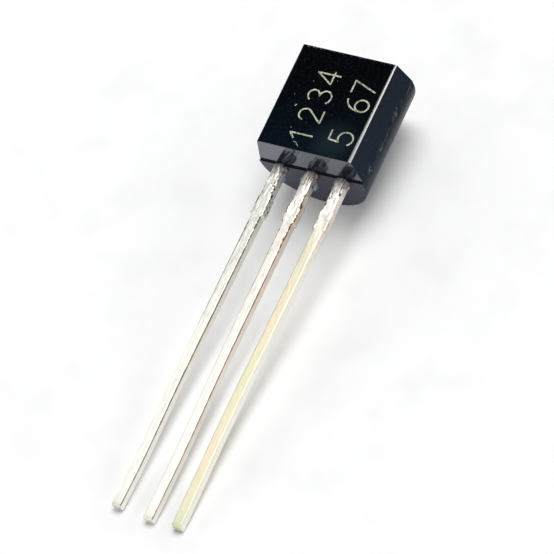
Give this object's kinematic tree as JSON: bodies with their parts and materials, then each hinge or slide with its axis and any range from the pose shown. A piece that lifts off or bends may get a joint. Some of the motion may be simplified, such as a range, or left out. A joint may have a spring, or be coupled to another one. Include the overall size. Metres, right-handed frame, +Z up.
{
  "type": "to-92 transistor",
  "caption": "Small transistor in a black moulded case with a flat face and a rounded back, on a row of straight tinned leads, lying flat side up.",
  "frame": {"origin": "on the table, under the middle of the whole transistor as it lies at rest", "axes": "+X across the leads from the emitter lead to the base lead, +Y from the lead tips towards the top of the case, +Z up; the flat faces up, turned 7.34 degrees about X by the way the part rests"},
  "size_m": [0.0042, 0.019, 0.0039],
  "materials": {
    "resin": "black moulding resin, semi-gloss, with a fine grain",
    "tinned_lead": "tin plating, bright on the flat sides, lumpy near the case",
    "dull_tinned_lead": "tin plating gone matt and slightly yellow",
    "silicon": "polished grey silicon",
    "bonding_layer": "silver-filled adhesive, matt",
    "bond_wire": "bright gold wire"
  },
  "bodies": {
    "root": {"moulded_case": "resin", "emitter_lead": "tinned_lead", "collector_lead": "tinned_lead", "base_lead": "dull_tinned_lead", "silicon_die": "silicon", "die_attach": "bonding_layer", "emitter_wire": "bond_wire", "base_wire": "bond_wire"}
  },
  "joints": []
}
